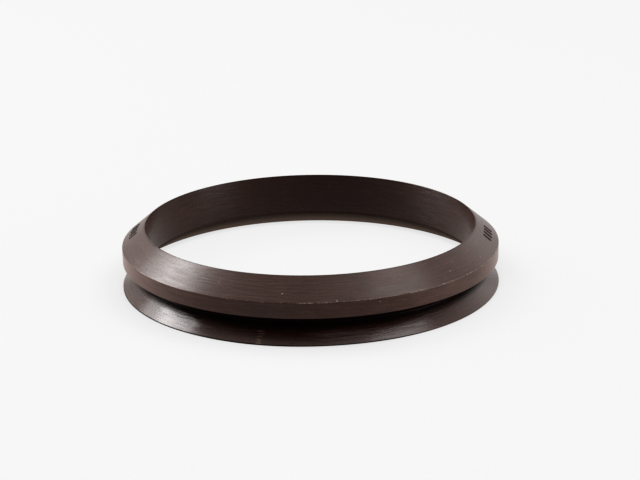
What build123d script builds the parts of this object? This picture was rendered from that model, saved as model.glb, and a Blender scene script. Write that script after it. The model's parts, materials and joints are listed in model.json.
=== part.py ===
from build123d import *
import os

# Rubber V-ring seal with a conical back, moulded in one piece.
# It lies as it rests on a bench, with the sealing lip down and the conical back up.
# The origin is the centre of the circle that the sealing edge touches, and +Z is the ring's
# axis, from the lip towards the back. Sizes are millimetres of the free ring, before it is
# stretched over its shaft.

os.makedirs("parts", exist_ok=True)

# Body, which is stretched over a shaft of 93 to 98 mm and turns with it
bore_diameter = 85.0
bore_length = 11.3  # straight wall that grips the shaft
section_height = 6.0  # radial thickness of the body
overall_width = 15.5  # sealing edge to the top of the back

# Conical back and cylindrical outer band
back_land = 0.2  # narrow flat where the cone meets the bore
back_rise = 4.8  # height of the cone above the outer band
band_width = 3.8

# V groove, the hinge under it, and the flexing lip
hinge_wall = 1.7  # rubber left between the bore and the corner of the groove
groove_rise = 0.5  # corner of the groove above the end of the bore
lip_overhang = 0.2  # sealing edge outside the outer band, on the radius
lip_rim = 0.3  # height of the trimmed rim around the lip
lip_hollow = 0.15  # dip of the lip's upper face below a straight cone

# Moulded corner radii
shoulder_radius = 0.15  # cone to outer band
band_foot_radius = 0.3  # outer band to groove
groove_radius = 0.5  # bottom of the groove
heel_radius = 0.5  # bore to the underside of the lip

# Radii from the axis
bore_radius = bore_diameter / 2
body_radius = bore_radius + section_height
lip_radius = body_radius + lip_overhang

# Heights above the sealing edge
shoulder_height = overall_width - back_rise
band_foot_height = shoulder_height - band_width
heel_height = overall_width - bore_length

# Corners of the section, as radius and height
back_inner = (bore_radius, overall_width)
back_outer = (bore_radius + back_land, overall_width)
shoulder = (body_radius, shoulder_height)
band_foot = (body_radius, band_foot_height)
groove_corner = (bore_radius + hinge_wall, heel_height + groove_rise)
rim_top = (lip_radius, lip_rim)
sealing_edge = (lip_radius, 0)
heel = (bore_radius, heel_height)

with BuildPart() as v_ring:
    with BuildSketch(Plane.XZ) as section:
        with BuildLine():
            Polyline(rim_top, sealing_edge, heel, back_inner, back_outer)
            Polyline(back_outer, shoulder, band_foot, groove_corner)
            SagittaArc(groove_corner, rim_top, -lip_hollow)
        make_face()
        for corner, radius in (
            (shoulder, shoulder_radius),
            (band_foot, band_foot_radius),
            (groove_corner, groove_radius),
            (heel, heel_radius),
        ):
            fillet(section.vertices().sort_by_distance(corner)[0], radius)
    revolve(axis=Axis.Z)

v_ring.part.label = "v_ring"
export_step(v_ring.part, "parts/v_ring.step")
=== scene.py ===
import json
import math

import bpy
from mathutils import Matrix, Vector


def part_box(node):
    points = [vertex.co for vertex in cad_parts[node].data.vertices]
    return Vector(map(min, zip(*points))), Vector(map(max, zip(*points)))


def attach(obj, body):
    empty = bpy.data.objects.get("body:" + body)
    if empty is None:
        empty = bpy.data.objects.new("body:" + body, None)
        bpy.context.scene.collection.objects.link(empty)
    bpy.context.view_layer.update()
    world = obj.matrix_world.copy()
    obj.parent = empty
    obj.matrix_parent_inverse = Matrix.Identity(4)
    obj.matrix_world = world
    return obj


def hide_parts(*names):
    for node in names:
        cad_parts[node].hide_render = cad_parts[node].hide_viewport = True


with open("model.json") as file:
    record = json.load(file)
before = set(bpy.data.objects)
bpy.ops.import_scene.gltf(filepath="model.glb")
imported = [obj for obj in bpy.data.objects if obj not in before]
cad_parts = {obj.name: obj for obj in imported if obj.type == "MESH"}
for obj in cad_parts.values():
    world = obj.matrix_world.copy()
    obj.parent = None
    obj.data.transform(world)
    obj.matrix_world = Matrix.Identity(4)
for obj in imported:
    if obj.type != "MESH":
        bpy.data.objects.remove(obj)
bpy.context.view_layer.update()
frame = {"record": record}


# The seal ring. It is one ring of brown fluorocarbon rubber, compression moulded in one go in a
# turned mould, which leaves fine lines around it. One section, drawn from its sizes and swept once
# around the bore's circle, makes the body, the V groove and the thin lip.
MM = 0.001
mounts = {mount["name"]: mount for mount in frame["record"]["mounts"]}
shaft_seat = mounts["shaft_seat"]["dims"]
ring_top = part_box("v_ring")[1]
ring_sizes = {
    "Bore Radius": shaft_seat["r_mm"] * MM,
    "Bore Length": shaft_seat["length_mm"] * MM,
    "Overall Width": ring_top.z,
    "Lip Radius": ring_top.x,
    "Lip Overhang": 0.2 * MM,
    "Lip Rim": 0.3 * MM,
    "Lip Hollow": 0.15 * MM,
    "Back Land": 0.2 * MM,
    "Back Rise": 4.8 * MM,
    "Band Width": 3.8 * MM,
    "Hinge Wall": 1.7 * MM,
    "Groove Rise": 0.5 * MM,
    "Shoulder Radius": 0.15 * MM,
    "Band Foot Radius": 0.08 * MM,
    "Groove Radius": 0.5 * MM,
    "Heel Radius": 0.5 * MM,
    "Hollow Radius": 20.0 * MM,
    "Edge Radius": 0.04 * MM,
    "Back Edge Radius": 0.12 * MM,
    "Corner Points": 5,
    "Section Step": 0.4 * MM,
    "Facets Around": 480,
    "Lip Wave": 0.16 * MM,
    "Lip Wave Scale": 1.3,
    "Lip Wave Seed": 3.0,
    "Lip Lift": 0.08 * MM,
    "Lip Lift Bearing": math.radians(-80.0),
    "Lip Lift Reach": 0.55,
}

# The section in mm, for the finish: radii from the axis, and heights above the sealing edge
bore_radius = shaft_seat["r_mm"]
lip_radius = ring_top.x / MM
body_radius = lip_radius - ring_sizes["Lip Overhang"] / MM
groove_radius = bore_radius + ring_sizes["Hinge Wall"] / MM
back_height = ring_top.z / MM
shoulder_height = back_height - ring_sizes["Back Rise"] / MM
band_foot_height = shoulder_height - ring_sizes["Band Width"] / MM
heel_height = back_height - shaft_seat["length_mm"]
corner_height = heel_height + ring_sizes["Groove Rise"] / MM
rim_height = ring_sizes["Lip Rim"] / MM

# Slopes of the lip's underside and of the groove's roof, as rise over run
underside_slope = heel_height / (lip_radius - bore_radius)
roof_slope = (band_foot_height - corner_height) / (body_radius - groove_radius)

# Bearings of the worn places and of the painted shade on the lip's rim, around the ring from +X.
# A spread gives how far from its bearing each begins and how far it is full: in radians, or for the
# shaded rim as cosines
SCUFF_BEARING = math.radians(-104.5)
SCUFF_SPREAD = (0.032, 0.002)
CHAFE_BEARING = math.radians(-55.0)
CHAFE_SPREAD = (1.2, 0.5)
# The painted shade on the lip's rim: its bearing, and its spread as cosines
SHADED_RIM_BEARING = math.radians(-120.0)
SHADED_RIM_SPREAD = (math.cos(math.radians(70.0)), math.cos(math.radians(45.0)))

# The chafed line in mm: in from the band's face, up from its top edge, and how far from there the
# chafing begins and how far it is full
CHAFE_INSET = 0.08
CHAFE_RISE = 0.04
CHAFE_WIDTH = (0.20, 0.06)

# Where the four tones of a rubber lie on its ramp. The last is kept for wear
TONE_STOPS = (0.40, 0.49, 0.58, 1.0)
HIGHEST_UNWORN = 0.59

# The grain of the rubber and its cloudy patches, in spots per metre, and the height of its lines
GRAIN_SCALE = 2300.0
CLOUD_SCALE = 240.0
LINE_HEIGHT = 0.036 * MM


class Wire:
    """A node's output. Python's operators on it add Math nodes to its tree."""

    def __init__(self, tree, socket):
        self.tree = tree
        self.socket = socket

    def out(self, name):
        return Wire(self.tree, self.socket.node.outputs[name])

    def __add__(self, other):
        return self.tree.math("ADD", self, other)

    def __radd__(self, other):
        return self.tree.math("ADD", other, self)

    def __sub__(self, other):
        return self.tree.math("SUBTRACT", self, other)

    def __rsub__(self, other):
        return self.tree.math("SUBTRACT", other, self)

    def __mul__(self, other):
        return self.tree.math("MULTIPLY", self, other)

    def __rmul__(self, other):
        return self.tree.math("MULTIPLY", other, self)

    def __truediv__(self, other):
        return self.tree.math("DIVIDE", self, other)

    def __lt__(self, other):
        return self.tree.math("LESS_THAN", self, other)

    def __mod__(self, other):
        return self.tree.math("FLOORED_MODULO", self, other)


class Tree:
    """A node tree that is written as calls and expressions."""

    def __init__(self, tree):
        self.inside = tree

    def add(self, kind, settings=None, inputs=None, output=0):
        """Makes one node: its settings first, then the values or wires of its sockets.

        A ramp's stops and a switch's number of choices are settings too.
        """
        node = self.inside.nodes.new(kind)
        for name, value in (settings or {}).items():
            if name == "stops":
                for place, _ in value[2:]:
                    node.color_ramp.elements.new(place)
                for stop, (place, colour) in zip(node.color_ramp.elements, value):
                    stop.position = place
                    stop.color = colour
            elif name == "choices":
                while len(node.index_switch_items) < value:
                    node.index_switch_items.new()
            else:
                setattr(node, name, value)
        for name, value in (inputs or {}).items():
            if isinstance(value, Wire):
                self.inside.links.new(value.socket, node.inputs[name])
            else:
                node.inputs[name].default_value = value
        return Wire(self, node.outputs[output]) if node.outputs else node

    def math(self, operation, *values):
        return self.add("ShaderNodeMath", {"operation": operation}, dict(enumerate(values)))

    def root(self, value):
        return self.math("SQRT", value)

    def most(self, first, *others):
        """The greatest of some masks."""
        for other in others:
            first = self.math("MAXIMUM", first, other)
        return first

    def smooth(self, value, low, high, at_low=0.0, at_high=1.0):
        """A soft step from at_low to at_high as value goes from low to high."""
        limits = {"From Min": low, "From Max": high, "To Min": at_low, "To Max": at_high}
        settings = {"interpolation_type": "SMOOTHSTEP"}
        return self.add("ShaderNodeMapRange", settings, {"Value": value, **limits})

    def vector(self, x, y, z=0.0):
        return self.add("ShaderNodeCombineXYZ", None, {"X": x, "Y": y, "Z": z})

    def parts(self, vector):
        x = self.add("ShaderNodeSeparateXYZ", None, {"Vector": vector}, "X")
        return x, x.out("Y"), x.out("Z")

    def noise(self, spot, scale, detail):
        """Noise that is the same in all directions, with so many spots per metre."""
        inputs = {"Vector": spot, "Scale": scale, "Detail": detail}
        return self.add("ShaderNodeTexNoise", None, inputs, "Fac")


def new_finish(name):
    """A material whose tree is empty."""
    material = bpy.data.materials.new(name)
    material.use_nodes = True
    material.node_tree.nodes.clear()
    return material, Tree(material.node_tree)


def turned_lines(tree, place, across, around, detail=2.0):
    """Noise drawn out around the ring, finer with across, per mm, and shorter with around."""
    radius, east, north, height = place
    vector = tree.vector(radius * across, east * around, north * around)
    inputs = {"Vector": vector, "W": height * across, "Scale": 1.0, "Detail": detail}
    return tree.add("ShaderNodeTexNoise", {"noise_dimensions": "4D"}, inputs, "Fac")


def wear(tree, place, lines):
    """How far the shoulder is chafed and the lip is scuffed, from 0 to 1."""
    radius, east, north, height = place
    bearing = tree.math("ARCTAN2", north, east)

    across = radius - (body_radius - CHAFE_INSET)
    up = height - (shoulder_height + CHAFE_RISE)
    from_shoulder = tree.root(across * across + up * up)
    from_chafe = tree.math("ABSOLUTE", bearing - CHAFE_BEARING)
    broken = turned_lines(tree, place, across=0.8, around=90.0, detail=4.0)
    chafe = tree.smooth(from_shoulder, *CHAFE_WIDTH)
    chafe = chafe * tree.smooth(from_chafe, *CHAFE_SPREAD, at_low=0.35)
    chafe = chafe * tree.smooth(broken, 0.42, 0.70, at_low=0.12, at_high=0.46)

    from_scuff = tree.math("ABSOLUTE", bearing - SCUFF_BEARING)
    on_lip = tree.smooth(height, heel_height - 0.6, heel_height - 1.6)
    on_lip = on_lip * tree.smooth(radius, groove_radius + 1.0, groove_radius + 2.2)
    scuff = tree.smooth(from_scuff, *SCUFF_SPREAD) * on_lip
    scuff = scuff * tree.smooth(lines, 0.35, 0.60, at_low=0.12, at_high=0.30)
    return tree.most(chafe, scuff)


def painted_shade_faces(tree, place, grain):
    """Where shade is painted on the rubber, and the dark matt shader that paints it."""
    radius, east, north, height = place

    # Painted shade on the heel and the slanted underside, paler the lower it is
    at_heel = tree.smooth(radius, bore_radius + 1.0, bore_radius + 0.7)
    at_heel = at_heel * tree.smooth(height, heel_height + 0.7, heel_height + 0.3)
    above_underside = height + (radius - lip_radius) * underside_slope
    under_lip = tree.most(at_heel, tree.smooth(above_underside, 0.20, 0.10))

    # Painted shade on the roof of the groove and in its deep corner
    above_roof = height - (radius - groove_radius) * roof_slope
    on_roof = tree.smooth(above_roof, heel_height, heel_height + 0.4)
    on_roof = on_roof * tree.smooth(height, band_foot_height + 0.05, band_foot_height - 0.05)
    deep = tree.smooth(radius, groove_radius + 2.05, groove_radius + 0.6)
    deep = deep * tree.smooth(height, band_foot_height + 0.1, band_foot_height - 0.1)
    past_bore = tree.smooth(radius, bore_radius + 0.9, bore_radius + 1.3, at_high=0.92)
    in_groove = tree.most(on_roof, deep) * past_bore

    # Painted shade on the lip's rim, a dark line that is gone towards the right
    toward_shaded_rim = east * math.cos(SHADED_RIM_BEARING) + north * math.sin(SHADED_RIM_BEARING)
    shaded_rim = tree.smooth(radius, lip_radius - 0.10, lip_radius - 0.04)
    shaded_rim = shaded_rim * tree.smooth(height, rim_height + 0.06, rim_height - 0.02)
    shaded_rim = shaded_rim * tree.smooth(toward_shaded_rim, *SHADED_RIM_SPREAD)

    # A dark line of painted shade along the edge at the top of the bore
    shaded_bore_edge = tree.smooth(radius, bore_radius + 0.45, bore_radius + 0.30)
    shaded_bore_edge = shaded_bore_edge * tree.smooth(height, back_height - 0.4, back_height - 0.25, at_high=0.25)

    # How pale the painted shade is: paler low under the lip, near black elsewhere
    underside_paleness = under_lip * tree.smooth(height, heel_height, 0.2, at_low=0.3) * (1.0 - shaded_rim)
    colour = tree.add("ShaderNodeValToRGB", {"stops": (
        (0.0, (0.0050, 0.0022, 0.0015, 1.0)),
        (1.0, (0.1400, 0.1000, 0.0820, 1.0)),
    )}, {"Fac": underside_paleness + (grain - 0.5) * 0.3}, "Color")
    # The dark matt shader that paints the shade
    painted_shade_shader = tree.add("ShaderNodeBsdfPrincipled", None, {
        "Base Color": colour,
        "Roughness": 0.9,
        "Specular IOR Level": 0.05,
    })
    return tree.most(under_lip, in_groove, shaded_rim, shaded_bore_edge), painted_shade_shader


def rubber(name, tones, rough_lip, rough_body, gloss):
    """Turned rubber, from its four tones, how rough its lip and its body are, and its gloss."""
    material, tree = new_finish(name)
    spot = tree.add("ShaderNodeTexCoord", output="Object")
    x, y, z = tree.parts(spot)
    from_axis = tree.root(x * x + y * y)
    radius = from_axis * 1000.0
    height = z * 1000.0
    place = (radius, x / from_axis, y / from_axis, height)

    # The mould's lines at three widths, the rubber's grain, and cloudy patches in it
    fine = turned_lines(tree, place, across=3.4, around=12.0, detail=1.0)
    middle = turned_lines(tree, place, across=1.9, around=8.0, detail=1.0)
    broad = turned_lines(tree, place, across=0.6, around=3.0)
    grain = tree.noise(spot, GRAIN_SCALE, 2.0)
    cloud = tree.noise(spot, CLOUD_SCALE, 3.0)
    worn = wear(tree, place, middle)
    painted_shade_mask, painted_shade_shader = painted_shade_faces(tree, place, grain)

    # The outer band is a little paler and glossier, and the bore a little darker, a painted shade
    on_band = tree.smooth(height, band_foot_height - 0.3, band_foot_height + 0.1)
    on_band = on_band * tree.smooth(height, shoulder_height + 0.05, shoulder_height - 0.15)
    on_band = on_band * tree.smooth(radius, body_radius - 0.3, body_radius - 0.1)
    in_bore = tree.smooth(radius, bore_radius + 0.12, bore_radius + 0.04)

    tone = 0.28 * middle + 0.34 * grain + 0.18 * cloud + 0.20 * fine + 0.05 * on_band - 0.07 * in_bore
    tone = tree.math("MINIMUM", tone, HIGHEST_UNWORN)
    tone = tone * (1.0 - worn) + worn
    stops = tuple(zip(TONE_STOPS, tones))
    colour = tree.add("ShaderNodeValToRGB", {"stops": stops}, {"Fac": tone}, "Color")
    bump = tree.add("ShaderNodeBump", None, {
        "Height": middle + 0.8 * fine + 0.12 * grain + 0.4 * broad,
        "Distance": LINE_HEIGHT,
        "Strength": 1.0,
    }, "Normal")
    roughness = tree.smooth(height, heel_height - 0.2, band_foot_height + 0.1,
                            at_low=rough_lip, at_high=rough_body)
    turned = tree.add("ShaderNodeBsdfPrincipled", None, {
        "Base Color": colour,
        "Roughness": roughness + (middle - 0.5) * 0.22 + 0.15 * worn,
        "Normal": bump,
        "Specular IOR Level": gloss,
        "Coat Weight": on_band * (0.2 * middle + 0.36),
        "Coat Roughness": 0.3,
        "Coat Tint": (1.0, 0.72, 0.60, 1.0),
        "Anisotropic": 0.7,
        "Anisotropic Rotation": 0.25,
    })
    # The painted shade is mixed in over the turned rubber
    surface = tree.add("ShaderNodeMixShader", None, {0: painted_shade_mask, 1: turned, 2: painted_shade_shader})
    tree.add("ShaderNodeOutputMaterial", None, {"Surface": surface})
    return material


def shape_tree(name, sizes):
    """An empty geometry tree with a named input for each size, and a wire from each of them."""
    group = bpy.data.node_groups.new(name, "GeometryNodeTree")
    for size in sizes:
        group.interface.new_socket(size, in_out="INPUT", socket_type="NodeSocketFloat")
    group.interface.new_socket("Shape", in_out="OUTPUT", socket_type="NodeSocketGeometry")
    tree = Tree(group)
    first = tree.add("NodeGroupInput")
    return tree, {size: first.out(size) for size in sizes}


def run_tree(name, tree, sizes, shape, material):
    """Ends a tree, runs it with its sizes set, and keeps what it makes as a plain mesh."""
    shape = tree.add("GeometryNodeRealizeInstances", None, {"Geometry": shape})
    shape = tree.add("GeometryNodeSetMaterial", None, {"Geometry": shape, "Material": material})
    tree.add("NodeGroupOutput", None, {"Shape": shape})
    maker = bpy.data.objects.new(name + "_maker", bpy.data.meshes.new(name + "_maker"))
    bpy.context.scene.collection.objects.link(maker)
    modifier = maker.modifiers.new("Shape", "NODES")
    modifier.node_group = tree.inside
    for socket in tree.inside.interface.items_tree:
        if socket.in_out == "INPUT":
            modifier[socket.identifier] = float(sizes[socket.name])
    made = maker.evaluated_get(bpy.context.evaluated_depsgraph_get())
    mesh = bpy.data.meshes.new_from_object(made)
    mesh.name = name
    bpy.data.objects.remove(maker)
    piece = bpy.data.objects.new(name, mesh)
    bpy.context.scene.collection.objects.link(piece)
    return piece


rubber_tones = (
    (0.0250, 0.0089, 0.0052, 1.0),
    (0.0325, 0.0120, 0.0072, 1.0),
    (0.0410, 0.0158, 0.0098, 1.0),
    (0.3400, 0.2700, 0.2350, 1.0),
)
brown_rubber = rubber("turned_brown_rubber", rubber_tones,
                      rough_lip=0.245, rough_body=0.34, gloss=0.35)

# The section's corners: across from the bore's wall, up from the sealing edge, and the round there
tree, size = shape_tree("swept_ring", ring_sizes)
bore = size["Bore Radius"]
reach = size["Lip Radius"] - bore
body = reach - size["Lip Overhang"]
width = size["Overall Width"]
shoulder = width - size["Back Rise"]
band_foot = shoulder - size["Band Width"]
heel = width - size["Bore Length"]
groove_height = heel + size["Groove Rise"]
lip_run = reach - size["Hinge Wall"]
lip_fall = groove_height - size["Lip Rim"]

# The lip's hollow upper face is one wide round, at a corner twice the hollow below its middle
dip = size["Lip Hollow"] * 2.0 / tree.root(lip_run * lip_run + lip_fall * lip_fall)
hollow_across = reach - lip_run * 0.5 - dip * lip_fall
hollow_up = groove_height - lip_fall * 0.5 - dip * lip_run

corners = (
    (reach, 0.0, size["Edge Radius"]),
    (0.0, heel, size["Heel Radius"]),
    (0.0, width, size["Back Edge Radius"]),
    (size["Back Land"], width, size["Back Edge Radius"]),
    (body, shoulder, size["Shoulder Radius"]),
    (body, band_foot, size["Band Foot Radius"]),
    (size["Hinge Wall"], groove_height, size["Groove Radius"]),
    (hollow_across, hollow_up, size["Hollow Radius"]),
    (reach, size["Lip Rim"], size["Edge Radius"]),
)
index = tree.add("GeometryNodeInputIndex")

# The sweep turns the section's Y downwards, so it is drawn upside down
places = {str(n): tree.vector(across, 0.0 - up) for n, (across, up, _) in enumerate(corners)}
rounds = {str(n): radius for n, (_, _, radius) in enumerate(corners)}
place = tree.add("GeometryNodeIndexSwitch", {"data_type": "VECTOR", "choices": len(corners)},
                 {"Index": index, **places})
rounding = tree.add("GeometryNodeIndexSwitch", {"data_type": "FLOAT", "choices": len(corners)},
                    {"Index": index, **rounds})
section = tree.add("GeometryNodeCurvePrimitiveLine")
section = tree.add("GeometryNodeResampleCurve", None, {"Curve": section, "Count": len(corners)})
section = tree.add("GeometryNodeSetPosition", None, {"Geometry": section, "Position": place})
section = tree.add("GeometryNodeSetSplineCyclic", None, {"Geometry": section, "Cyclic": True})
section = tree.add("GeometryNodeFilletCurve", {"mode": "POLY"}, {
    "Curve": section,
    "Count": size["Corner Points"],
    "Radius": rounding,
    "Limit Radius": True,
})

# Long straight stretches of the section are cut into steps, and the section is swept around
here = tree.add("GeometryNodeInputPosition")
count = tree.add("GeometryNodeAttributeDomainSize", {"component": "CURVE"}, {"Geometry": section})
beyond = tree.add("GeometryNodeFieldAtIndex", {"data_type": "FLOAT_VECTOR"},
                  {"Index": (index + 1.0) % count, "Value": here})
stretch = tree.add("ShaderNodeVectorMath", {"operation": "DISTANCE"}, {0: here, 1: beyond}, "Value")
section = tree.add("GeometryNodeSubdivideCurve", None,
                   {"Curve": section, "Cuts": stretch / size["Section Step"]})
circle = tree.add("GeometryNodeCurvePrimitiveCircle", None,
                  {"Resolution": size["Facets Around"], "Radius": bore})
ring = tree.add("GeometryNodeCurveToMesh", None, {"Curve": circle, "Profile Curve": section})

# The thin lip waves a little in and out, and lifts off the floor near the front
x, y, z = tree.parts(here)
from_axis = tree.root(x * x + y * y)
turn = tree.vector(x / from_axis, y / from_axis)
wave = tree.add("ShaderNodeTexNoise", {"noise_dimensions": "4D"}, {
    "Vector": turn,
    "W": size["Lip Wave Seed"],
    "Scale": size["Lip Wave Scale"],
    "Detail": 1.0,
}, "Fac")
hinge = bore + size["Hinge Wall"]
limp = tree.smooth(from_axis, hinge, size["Lip Radius"]) * (z < groove_height)
outward = (0.5 - wave) * size["Lip Wave"] * limp / from_axis
from_lift = tree.math("ABSOLUTE", tree.math("ARCTAN2", y, x) - size["Lip Lift Bearing"])
lift = tree.smooth(from_lift, size["Lip Lift Reach"], 0.0) * size["Lip Lift"] * limp
ring = tree.add("GeometryNodeSetPosition", None,
                {"Geometry": ring, "Offset": tree.vector(x * outward, y * outward, lift)})
ring = tree.add("GeometryNodeSetShadeSmooth", None, {"Geometry": ring})
seal_ring = run_tree("seal_ring", tree, ring_sizes, ring, brown_rubber)
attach(seal_ring, "root")
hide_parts("v_ring")


# The mould marks, one row of short low bars on each side of the conical back. They are part of the
# moulding, and they are matt because that part of the mould is etched.
mark_sizes = {
    "Bars In A Row": 4,
    "Bar Pitch": 2.4 * MM,
    "Bar Length": 2.8 * MM,
    "Bar Width": 0.95 * MM,
    "Bar Rise": 0.18 * MM,
    "Row Radius": 45.75 * MM,
    "Right Row": math.radians(-6.5),
    "Left Row": math.radians(179.0),
    "Cone Top Radius": ring_sizes["Bore Radius"] + ring_sizes["Back Land"],
    "Cone Foot Radius": ring_sizes["Lip Radius"] - ring_sizes["Lip Overhang"],
    "Cone Top": ring_sizes["Overall Width"],
    "Cone Fall": ring_sizes["Back Rise"],
}
etched_tones = (
    (0.0090, 0.0044, 0.0032, 1.0),
    (0.0150, 0.0074, 0.0056, 1.0),
    (0.0220, 0.0112, 0.0086, 1.0),
    (0.0400, 0.0260, 0.0220, 1.0),
)
etched_rubber = rubber("etched_brown_rubber", etched_tones,
                       rough_lip=0.6, rough_body=0.6, gloss=0.22)

# One bar is a sphere drawn out along Z and pressed flat along X, so that its ends stay round
tree, size = shape_tree("mould_marks", mark_sizes)
bar = tree.add("GeometryNodeMeshUVSphere", None, {"Segments": 16, "Rings": 9, "Radius": 1.0})
x, y, z = tree.parts(tree.add("GeometryNodeInputPosition"))
half_width = size["Bar Width"] * 0.5
stretch = tree.math("SIGN", z) * (size["Bar Length"] * 0.5 - half_width)
bar = tree.add("GeometryNodeSetPosition", None, {
    "Geometry": bar,
    "Position": tree.vector(z * half_width + stretch, y * half_width, 0.0 - x * size["Bar Rise"]),
})
bar = tree.add("GeometryNodeSetShadeSmooth", None, {"Geometry": bar})
spots = tree.add("GeometryNodeMeshLine", None, {"Count": size["Bars In A Row"] * 2.0})
number = tree.add("GeometryNodeInputIndex")
in_row = number % size["Bars In A Row"] - (size["Bars In A Row"] - 1.0) * 0.5
on_left = 1.0 - (number < size["Bars In A Row"])
bearing = size["Right Row"] + on_left * (size["Left Row"] - size["Right Row"])
bearing = bearing + in_row * size["Bar Pitch"] / size["Row Radius"]
cone_run = size["Cone Foot Radius"] - size["Cone Top Radius"]
out_along = size["Row Radius"] - size["Cone Top Radius"]
row_height = size["Cone Top"] - out_along * size["Cone Fall"] / cone_run
cosine = tree.math("COSINE", bearing)
sine = tree.math("SINE", bearing)
spots = tree.add("GeometryNodeSetPosition", None, {
    "Geometry": spots,
    "Position": tree.vector(cosine * size["Row Radius"], sine * size["Row Radius"], row_height),
})
slope = tree.math("ARCTAN2", size["Cone Fall"], cone_run)
bars = tree.add("GeometryNodeInstanceOnPoints", None,
                {"Points": spots, "Instance": bar, "Rotation": tree.vector(0.0, slope, bearing)})
mould_marks = run_tree("mould_marks", tree, mark_sizes, bars, etched_rubber)
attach(mould_marks, "root")


# Crumbs of moulding flash, pale with dust, that cling to the shoulder where the mould's halves met.
# They are too small to trim off.
crumb_sizes = {
    "Crumbs": 150,
    "Crumb Length": 0.26 * MM,
    "Crumb Thickness": 0.10 * MM,
    "Crumb Flatness": 0.8,
    "Shoulder Radius": ring_sizes["Lip Radius"] - ring_sizes["Lip Overhang"] - 0.06 * MM,
    "Shoulder Height": ring_sizes["Overall Width"] - ring_sizes["Back Rise"] + 0.02 * MM,
    "Spread": 0.16 * MM,
    "Slope": 0.83,
    "Seed": 11,
}

pale_dust, tree = new_finish("pale_dust")
speckle = tree.noise(tree.add("ShaderNodeTexCoord", output="Object"), 4000.0, 2.0)
colour = tree.add("ShaderNodeValToRGB", {"stops": (
    (0.35, (0.20, 0.155, 0.135, 1.0)),
    (0.65, (0.48, 0.42, 0.38, 1.0)),
)}, {"Fac": speckle}, "Color")
surface = tree.add("ShaderNodeBsdfPrincipled", None, {
    "Base Color": colour,
    "Roughness": tree.smooth(speckle, 0.3, 0.7, at_low=0.6, at_high=0.9),
    "Specular IOR Level": 0.3,
})
tree.add("ShaderNodeOutputMaterial", None, {"Surface": surface})

tree, size = shape_tree("flash_crumbs", crumb_sizes)
number = tree.add("GeometryNodeInputIndex")


def chance(low, high, step):
    """A random number for each crumb, another one for each step."""
    inputs = {2: low, 3: high, "ID": number, "Seed": size["Seed"] + float(step)}
    return tree.add("FunctionNodeRandomValue", {"data_type": "FLOAT"}, inputs, 1)


bearing = chance(-math.pi, math.pi, 1)
outward = size["Shoulder Radius"] + chance(-1.0, 0.0, 2) * size["Spread"]
upward = size["Shoulder Height"] + (size["Shoulder Radius"] - outward) * size["Slope"]
cosine = tree.math("COSINE", bearing)
sine = tree.math("SINE", bearing)
spots = tree.add("GeometryNodeMeshLine", None, {"Count": size["Crumbs"]})
spots = tree.add("GeometryNodeSetPosition", None, {
    "Geometry": spots,
    "Position": tree.vector(cosine * outward, sine * outward, upward),
})
crumb = tree.add("GeometryNodeMeshIcoSphere", None, {"Radius": 0.5, "Subdivisions": 2})
length = chance(0.25, 1.0, 3) * chance(0.3, 1.0, 4) * size["Crumb Length"]
thickness = chance(0.4, 1.0, 5) * size["Crumb Thickness"]
crumbs = tree.add("GeometryNodeInstanceOnPoints", None, {
    "Points": spots,
    "Instance": crumb,
    "Rotation": tree.vector(0.0, chance(-0.5, 0.5, 6), bearing + chance(-0.6, 0.6, 7)),
    "Scale": tree.vector(thickness, length, thickness * size["Crumb Flatness"]),
})
flash_crumbs = run_tree("flash_crumbs", tree, crumb_sizes, crumbs, pale_dust)
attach(flash_crumbs, "root")


# A few larger crumbs of dust that lie loose on the back, the shoulder and the band. Each is at its
# bearing in degrees, its radius and its height in mm, as the photo shows them.
stray_sizes = {
    "Stray Length": 0.34 * MM,
    "Stray Thickness": 0.20 * MM,
    "Turn Between Strays": 2.4,
}
strays = (
    (-98.0, 46.6, 12.30),
    (-82.6, 48.3, 10.95),
    (-70.5, 48.55, 9.9),
    (-43.9, 46.5, 12.38),
    (-27.3, 46.9, 12.08),
    (-118.0, 45.4, 13.28),
)

tree, size = shape_tree("stray_crumbs", stray_sizes)
number = tree.add("GeometryNodeInputIndex")
places = {}
for n, (bearing, radius, height) in enumerate(strays):
    turn = math.radians(bearing)
    places[str(n)] = (radius * math.cos(turn) * MM, radius * math.sin(turn) * MM, height * MM)
place = tree.add("GeometryNodeIndexSwitch", {"data_type": "VECTOR", "choices": len(strays)},
                 {"Index": number, **places})
spots = tree.add("GeometryNodeMeshLine", None, {"Count": len(strays)})
spots = tree.add("GeometryNodeSetPosition", None, {"Geometry": spots, "Position": place})
crumb = tree.add("GeometryNodeMeshIcoSphere", None, {"Radius": 0.5, "Subdivisions": 2})
crumbs = tree.add("GeometryNodeInstanceOnPoints", None, {
    "Points": spots,
    "Instance": crumb,
    "Rotation": tree.vector(0.0, 0.0, number * size["Turn Between Strays"]),
    "Scale": tree.vector(size["Stray Length"], size["Stray Thickness"], size["Stray Thickness"]),
})
stray_crumbs = run_tree("stray_crumbs", tree, stray_sizes, crumbs, pale_dust)
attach(stray_crumbs, "root")


# The table it lies on, a wide sheet of white paper. It is lit so brightly in the photo that it
# hardly takes a shadow, so most of its brightness is its own glow. A painted contact shade and a
# painted soft shadow darken the glow a little beneath the ring and around it.
PAPER_HALF_WIDTH = 2.0
PAPER_GLOW = 0.605
CONTACT_REACH = 1.8 * MM
CONTACT_INSIDE = 0.45
SHADOW_REACH = 14.0 * MM
SHADOW_DEPTH = 0.24
KEY_SHADOW_BEARING = math.radians(-35.0)
KEY_SHADOW_SPREAD = (math.cos(math.radians(19.0)), math.cos(math.radians(42.3)))

white_paper, tree = new_finish("white_paper")
spot = tree.add("ShaderNodeTexCoord", output="Object")
grain = tree.noise(spot, 900.0, 3.0)
shade = tree.add("ShaderNodeValToRGB", {"stops": (
    (0.2, (0.024, 0.024, 0.024, 1.0)),
    (0.8, (0.030, 0.030, 0.030, 1.0)),
)}, {"Fac": grain}, "Color")

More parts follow.
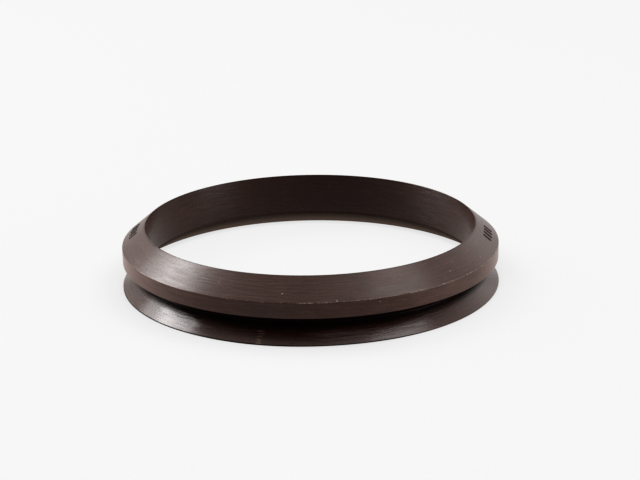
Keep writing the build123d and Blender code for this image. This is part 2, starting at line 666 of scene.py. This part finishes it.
# Painted contact shade, from ambient occlusion: the glow lost close to the ring, less of it inside
x, y, _ = tree.parts(spot)
from_axis = tree.root(x * x + y * y)
outside = tree.smooth(from_axis, ring_top.x - 0.2 * MM, ring_top.x)
openness = tree.add("ShaderNodeAmbientOcclusion", {"samples": 16}, {"Distance": CONTACT_REACH}, "AO")
contact = (1.0 - openness) * (outside * (1.0 - CONTACT_INSIDE) + CONTACT_INSIDE)

# Painted soft shadow: the glow lost around the lip, less of it where the key light casts a
# shadow of its own
toward_key_shadow = (x * math.cos(KEY_SHADOW_BEARING) + y * math.sin(KEY_SHADOW_BEARING)) / from_axis
near = tree.smooth(from_axis, ring_top.x + SHADOW_REACH, ring_top.x)
shadow = near * near * outside * SHADOW_DEPTH
shadow = shadow * tree.smooth(toward_key_shadow, *KEY_SHADOW_SPREAD, at_low=0.5)
glow = tree.add("ShaderNodeValToRGB", {"stops": (
    (0.0, (0.72, 0.72, 0.72, 1.0)),
    (0.75, (0.93, 0.93, 0.93, 1.0)),
    (1.0, (1.0, 1.0, 1.0, 1.0)),
)}, {"Fac": 1.0 - contact - shadow}, "Color")
surface = tree.add("ShaderNodeBsdfPrincipled", None, {
    "Base Color": shade,
    "Roughness": 0.9,
    "Specular IOR Level": 0.0,
    "Emission Color": glow,
    "Emission Strength": PAPER_GLOW,
})
tree.add("ShaderNodeOutputMaterial", None, {"Surface": surface})

paper_corners = [
    (x * PAPER_HALF_WIDTH, y * PAPER_HALF_WIDTH, 0.0)
    for x, y in ((-1, -1), (1, -1), (1, 1), (-1, 1))
]
paper_mesh = bpy.data.meshes.new("paper")
paper_mesh.from_pydata(paper_corners, [], [(0, 1, 2, 3)])
paper_mesh.materials.append(white_paper)
paper = bpy.data.objects.new("paper", paper_mesh)
bpy.context.scene.collection.objects.link(paper)


# The studio, a white surround that is bright behind the ring and dark on the camera's side, and
# seven round softboxes. Three at the back left draw the bright streaks on the back and the lip,
# two fill in from the right and the front, and two low ones light the ends of the band.
SURROUND_FRONT = 0.0
SURROUND_BACK = 1.22
SURROUND_TOP = 0.9
LOW_BACK_LOSS = 0.50
RIGHT_GAIN = 0.15
SOFTBOX_DISTANCE = 0.9

world = bpy.data.worlds.new("white_surround")
world.use_nodes = True
world.node_tree.nodes.clear()
bpy.context.scene.world = world
tree = Tree(world.node_tree)
toward_right, toward_back, up = tree.parts(tree.add("ShaderNodeTexCoord", output="Generated"))
low_at_back = tree.smooth(up, 0.30, 0.12) * tree.smooth(toward_back, 0.55, 0.85)
overhead = tree.smooth(up, 0.75, 0.97) * tree.smooth(toward_back, -0.40, -0.05)
glow = tree.smooth(toward_back, -1.0, 0.6, at_low=SURROUND_FRONT, at_high=SURROUND_BACK)
glow = glow * (1.0 - low_at_back * LOW_BACK_LOSS) * (1.0 + toward_right * RIGHT_GAIN)
glow = glow + overhead * SURROUND_TOP
background = tree.add("ShaderNodeBackground", None, {"Color": (1.0, 1.0, 1.0, 1.0), "Strength": glow})
tree.add("ShaderNodeOutputWorld", None, {"Surface": background})


def softbox(name, bearing, elevation, size, power):
    """A round softbox that faces the ring, from its bearing and elevation in degrees."""
    turn = math.radians(bearing)
    rise = math.radians(elevation)
    toward = Vector((math.cos(rise) * math.cos(turn), math.cos(rise) * math.sin(turn), math.sin(rise)))
    light = bpy.data.lights.new(name, "AREA")
    light.shape = "DISK"
    light.size = size
    light.energy = power
    lamp = bpy.data.objects.new(name, light)
    lamp.location = toward * SOFTBOX_DISTANCE
    lamp.rotation_mode = "QUATERNION"
    lamp.rotation_quaternion = toward.to_track_quat("Z", "Y")
    lamp.visible_camera = False
    bpy.context.scene.collection.objects.link(lamp)


softbox("key_back_left", bearing=166.0, elevation=37.0, size=0.38, power=3.7)
softbox("key_flank", bearing=150.0, elevation=33.0, size=0.36, power=1.25)
softbox("key_rear", bearing=142.0, elevation=51.0, size=0.40, power=2.1)
softbox("fill_right", bearing=-6.0, elevation=57.0, size=0.42, power=1.75)
softbox("fill_front", bearing=-60.0, elevation=55.0, size=0.46, power=0.75)
softbox("low_right", bearing=-14.0, elevation=10.0, size=0.56, power=4.0)
softbox("low_left", bearing=166.0, elevation=6.0, size=0.56, power=4.8)


# The camera stands where the photo was taken from. Its place was found by fitting the ring's
# circles to the edges in the photo. The ring's centre is a little left of its axis, and below it.
PHOTO_WIDTH = 640
FOCAL_PIXELS = 1582.8
SENSOR_WIDTH = 36.0
CAMERA_DISTANCE = 413.6 * MM
CAMERA_ELEVATION = math.radians(18.268)
CAMERA_ROLL = math.radians(-0.863)
RING_TO_RIGHT = -2.473 * MM
RING_ABOVE = -9.55 * MM

forward = Vector((0.0, math.cos(CAMERA_ELEVATION), -math.sin(CAMERA_ELEVATION)))
level = Vector((1.0, 0.0, 0.0))
upward = level.cross(forward)
right = level * math.cos(CAMERA_ROLL) + upward * math.sin(CAMERA_ROLL)
above = upward * math.cos(CAMERA_ROLL) - level * math.sin(CAMERA_ROLL)
stand = -(level * RING_TO_RIGHT + upward * RING_ABOVE + forward * CAMERA_DISTANCE)
camera_data = bpy.data.cameras.new("camera")
camera_data.sensor_width = SENSOR_WIDTH
camera_data.lens = FOCAL_PIXELS / PHOTO_WIDTH * SENSOR_WIDTH
camera_data.clip_start = 0.01
camera_data.clip_end = 20.0
camera = bpy.data.objects.new("camera", camera_data)
camera.matrix_world = Matrix((
    (right.x, above.x, -forward.x, stand.x),
    (right.y, above.y, -forward.y, stand.y),
    (right.z, above.z, -forward.z, stand.z),
    (0.0, 0.0, 0.0, 1.0),
))
bpy.context.scene.collection.objects.link(camera)
bpy.context.scene.camera = camera
bpy.context.scene.view_settings.view_transform = "Standard"
bpy.context.scene.view_settings.look = "High Contrast"
